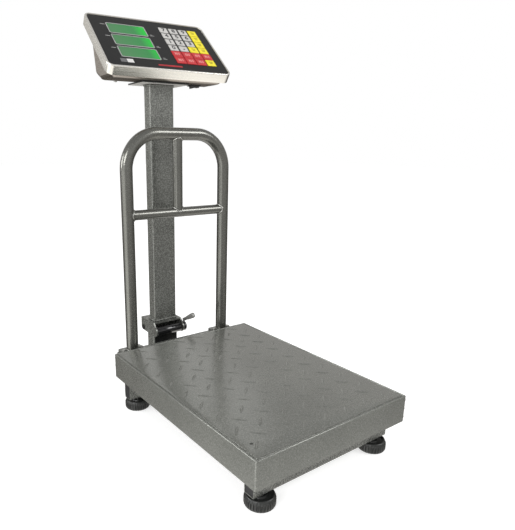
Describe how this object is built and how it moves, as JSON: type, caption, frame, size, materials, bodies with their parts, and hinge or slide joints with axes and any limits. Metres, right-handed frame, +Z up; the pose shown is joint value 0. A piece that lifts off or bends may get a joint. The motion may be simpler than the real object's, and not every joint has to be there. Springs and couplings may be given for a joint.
{
  "type": "platform counting scale",
  "caption": "Bench platform scale with a folded steel deck, a guard hoop and a fold-down mast that carries a tilted indicator head with a keypad and displays.",
  "frame": {"origin": "floor level, under the middle of the scale's extent", "axes": "+Z up, +X to the right of the user who faces the keypad, +Y away from the user, towards the mast"},
  "size_m": [0.3, 0.5662, 0.6847],
  "materials": {
    "deck_paint": "grey-green hammered paint, half gloss",
    "frame_paint": "dark grey-green metallic paint, half gloss",
    "foot_rubber": "matt black",
    "black_plastic": "matt black",
    "black_gloss": "glossy black",
    "aluminium": "milled",
    "zinc": "zinc plated",
    "steel": "brushed stainless",
    "overlay": "satin black film",
    "display_lens": "clear sheet over green displays",
    "board_green": "green circuit board",
    "battery_grey": "dark grey casing",
    "key_grey": "satin light grey",
    "key_yellow": "satin yellow",
    "key_red": "satin red"
  },
  "bodies": {
    "base": {"base_frame": "frame_paint", "end_plug_front_left": "black_plastic", "end_plug_front_right": "black_plastic", "end_plug_rear_left": "black_plastic", "end_plug_rear_right": "black_plastic", "load_cell": "aluminium", "cell_spacer_lower": "zinc", "cell_spacer_upper": "zinc", "upper_frame": "frame_paint", "deck_pan": "deck_paint", "deck_screw": "zinc", "guard_screw_left_inner": "zinc", "guard_screw_left_outer": "zinc", "guard_screw_right_inner": "zinc", "guard_screw_right_outer": "zinc", "guard_hoop": "frame_paint", "guard_bars": "frame_paint", "base_post": "frame_paint"},
    "mast": {"fold_hood": "frame_paint", "hinge_pin": "zinc", "mast_column": "frame_paint", "head_housing": "steel", "head_tray": "steel", "overlay_panel": "overlay", "display_lens": "display_lens", "main_board": "board_green", "battery": "battery_grey", "bracket_plate": "black_plastic", "rocker_bezel": "black_plastic"},
    "lock": {"lock_bar": "black_gloss", "lock_lever": "zinc"},
    "rocker": {"power_rocker": "black_gloss"},
    "foot_front_left": {"foot_front_left": "foot_rubber"},
    "foot_front_right": {"foot_front_right": "foot_rubber"},
    "foot_rear_left": {"foot_rear_left": "foot_rubber"},
    "foot_rear_right": {"foot_rear_right": "foot_rubber"},
    "key_7": {"key_7": "key_grey"},
    "key_8": {"key_8": "key_grey"},
    "key_9": {"key_9": "key_grey"},
    "key_zero_set": {"key_zero_set": "key_yellow"},
    "key_4": {"key_4": "key_grey"},
    "key_5": {"key_5": "key_grey"},
    "key_6": {"key_6": "key_grey"},
    "key_tare": {"key_tare": "key_yellow"},
    "key_1": {"key_1": "key_grey"},
    "key_2": {"key_2": "key_grey"},
    "key_3": {"key_3": "key_grey"},
    "key_clear": {"key_clear": "key_yellow"},
    "key_0": {"key_0": "key_grey"},
    "key_dot": {"key_dot": "key_grey"},
    "key_add": {"key_add": "key_yellow"},
    "key_total": {"key_total": "key_yellow"},
    "key_memory_1": {"key_memory_1": "key_red"},
    "key_memory_2": {"key_memory_2": "key_red"},
    "key_memory_3": {"key_memory_3": "key_red"},
    "key_memory_4": {"key_memory_4": "key_red"},
    "key_memory_5": {"key_memory_5": "key_red"},
    "key_memory_6": {"key_memory_6": "key_red"},
    "key_memory_7": {"key_memory_7": "key_red"},
    "key_save": {"key_save": "key_yellow"}
  },
  "joints": [
    {"name": "mast_fold", "type": "hinge", "parent": "base", "child": "mast", "pos_m": [0, 0.22513, 0.0888], "axis": [-1, 0, 0], "range_deg": [0, 90]},
    {"name": "lock_turn", "type": "hinge", "parent": "mast", "child": "lock", "pos_m": [0, 0.18043, 0.091], "axis": [-1, 0, 0], "range_deg": [0, 75]},
    {"name": "power_rock", "type": "hinge", "parent": "mast", "child": "rocker", "pos_m": [0.0669, 0.18486, 0.5668], "axis": [0.1045, 0.9945, 0], "range_deg": [0, 16]},
    {"name": "foot_front_left_screw", "type": "slide", "parent": "base", "child": "foot_front_left", "axis": [0, 0, -1], "range_m": [0, 0.01]},
    {"name": "foot_front_right_screw", "type": "slide", "parent": "base", "child": "foot_front_right", "axis": [0, 0, -1], "range_m": [0, 0.01]},
    {"name": "foot_rear_left_screw", "type": "slide", "parent": "base", "child": "foot_rear_left", "axis": [0, 0, -1], "range_m": [0, 0.01]},
    {"name": "foot_rear_right_screw", "type": "slide", "parent": "base", "child": "foot_rear_right", "axis": [0, 0, -1], "range_m": [0, 0.01]},
    {"name": "key_7_press", "type": "slide", "parent": "mast", "child": "key_7", "axis": [0.0655, 0.6232, -0.7793], "range_m": [0, 0.0005], "stiffness_N_per_m": 800, "springref_m": -0.0005},
    {"name": "key_8_press", "type": "slide", "parent": "mast", "child": "key_8", "axis": [0.0655, 0.6232, -0.7793], "range_m": [0, 0.0005], "stiffness_N_per_m": 800, "springref_m": -0.0005},
    {"name": "key_9_press", "type": "slide", "parent": "mast", "child": "key_9", "axis": [0.0655, 0.6232, -0.7793], "range_m": [0, 0.0005], "stiffness_N_per_m": 800, "springref_m": -0.0005},
    {"name": "key_zero_set_press", "type": "slide", "parent": "mast", "child": "key_zero_set", "axis": [0.0655, 0.6232, -0.7793], "range_m": [0, 0.0005], "stiffness_N_per_m": 800, "springref_m": -0.0005},
    {"name": "key_4_press", "type": "slide", "parent": "mast", "child": "key_4", "axis": [0.0655, 0.6232, -0.7793], "range_m": [0, 0.0005], "stiffness_N_per_m": 800, "springref_m": -0.0005},
    {"name": "key_5_press", "type": "slide", "parent": "mast", "child": "key_5", "axis": [0.0655, 0.6232, -0.7793], "range_m": [0, 0.0005], "stiffness_N_per_m": 800, "springref_m": -0.0005},
    {"name": "key_6_press", "type": "slide", "parent": "mast", "child": "key_6", "axis": [0.0655, 0.6232, -0.7793], "range_m": [0, 0.0005], "stiffness_N_per_m": 800, "springref_m": -0.0005},
    {"name": "key_tare_press", "type": "slide", "parent": "mast", "child": "key_tare", "axis": [0.0655, 0.6232, -0.7793], "range_m": [0, 0.0005], "stiffness_N_per_m": 800, "springref_m": -0.0005},
    {"name": "key_1_press", "type": "slide", "parent": "mast", "child": "key_1", "axis": [0.0655, 0.6232, -0.7793], "range_m": [0, 0.0005], "stiffness_N_per_m": 800, "springref_m": -0.0005},
    {"name": "key_2_press", "type": "slide", "parent": "mast", "child": "key_2", "axis": [0.0655, 0.6232, -0.7793], "range_m": [0, 0.0005], "stiffness_N_per_m": 800, "springref_m": -0.0005},
    {"name": "key_3_press", "type": "slide", "parent": "mast", "child": "key_3", "axis": [0.0655, 0.6232, -0.7793], "range_m": [0, 0.0005], "stiffness_N_per_m": 800, "springref_m": -0.0005},
    {"name": "key_clear_press", "type": "slide", "parent": "mast", "child": "key_clear", "axis": [0.0655, 0.6232, -0.7793], "range_m": [0, 0.0005], "stiffness_N_per_m": 800, "springref_m": -0.0005},
    {"name": "key_0_press", "type": "slide", "parent": "mast", "child": "key_0", "axis": [0.0655, 0.6232, -0.7793], "range_m": [0, 0.0005], "stiffness_N_per_m": 800, "springref_m": -0.0005},
    {"name": "key_dot_press", "type": "slide", "parent": "mast", "child": "key_dot", "axis": [0.0655, 0.6232, -0.7793], "range_m": [0, 0.0005], "stiffness_N_per_m": 800, "springref_m": -0.0005},
    {"name": "key_add_press", "type": "slide", "parent": "mast", "child": "key_add", "axis": [0.0655, 0.6232, -0.7793], "range_m": [0, 0.0005], "stiffness_N_per_m": 800, "springref_m": -0.0005},
    {"name": "key_total_press", "type": "slide", "parent": "mast", "child": "key_total", "axis": [0.0655, 0.6232, -0.7793], "range_m": [0, 0.0005], "stiffness_N_per_m": 800, "springref_m": -0.0005},
    {"name": "key_memory_1_press", "type": "slide", "parent": "mast", "child": "key_memory_1", "axis": [0.0655, 0.6232, -0.7793], "range_m": [0, 0.0005], "stiffness_N_per_m": 800, "springref_m": -0.0005},
    {"name": "key_memory_2_press", "type": "slide", "parent": "mast", "child": "key_memory_2", "axis": [0.0655, 0.6232, -0.7793], "range_m": [0, 0.0005], "stiffness_N_per_m": 800, "springref_m": -0.0005},
    {"name": "key_memory_3_press", "type": "slide", "parent": "mast", "child": "key_memory_3", "axis": [0.0655, 0.6232, -0.7793], "range_m": [0, 0.0005], "stiffness_N_per_m": 800, "springref_m": -0.0005},
    {"name": "key_memory_4_press", "type": "slide", "parent": "mast", "child": "key_memory_4", "axis": [0.0655, 0.6232, -0.7793], "range_m": [0, 0.0005], "stiffness_N_per_m": 800, "springref_m": -0.0005},
    {"name": "key_memory_5_press", "type": "slide", "parent": "mast", "child": "key_memory_5", "axis": [0.0655, 0.6232, -0.7793], "range_m": [0, 0.0005], "stiffness_N_per_m": 800, "springref_m": -0.0005},
    {"name": "key_memory_6_press", "type": "slide", "parent": "mast", "child": "key_memory_6", "axis": [0.0655, 0.6232, -0.7793], "range_m": [0, 0.0005], "stiffness_N_per_m": 800, "springref_m": -0.0005},
    {"name": "key_memory_7_press", "type": "slide", "parent": "mast", "child": "key_memory_7", "axis": [0.0655, 0.6232, -0.7793], "range_m": [0, 0.0005], "stiffness_N_per_m": 800, "springref_m": -0.0005},
    {"name": "key_save_press", "type": "slide", "parent": "mast", "child": "key_save", "axis": [0.0655, 0.6232, -0.7793], "range_m": [0, 0.0005], "stiffness_N_per_m": 800, "springref_m": -0.0005}
  ]
}
